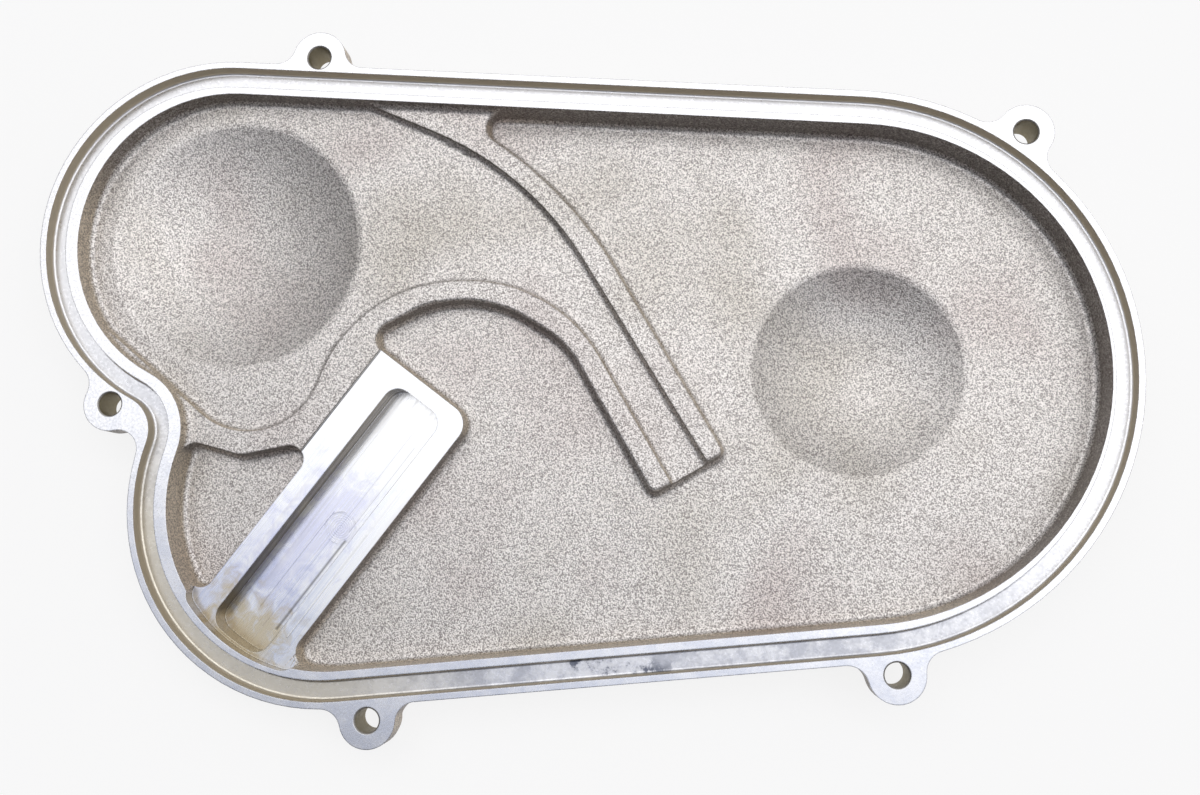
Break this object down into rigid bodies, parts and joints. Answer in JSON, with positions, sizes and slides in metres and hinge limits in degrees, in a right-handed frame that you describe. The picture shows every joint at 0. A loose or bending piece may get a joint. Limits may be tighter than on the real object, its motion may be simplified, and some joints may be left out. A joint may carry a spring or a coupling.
{
  "type": "chain case cover",
  "caption": "Cast aluminium cover that closes a chain case, with a sealed rim, screw lugs, chain ribs, domes over the sprockets and a milled tensioner pad.",
  "frame": {"origin": "on the big sprocket's axis, in the gasket face", "axes": "+Z out of the gasket face towards the engine, +X from the small sprocket to the big one"},
  "size_m": [0.3339, 0.2241, 0.023],
  "materials": {
    "cast_aluminium": "as cast, with a milled gasket face"
  },
  "bodies": {
    "root": {"chain_case_cover": "cast_aluminium"}
  },
  "joints": []
}
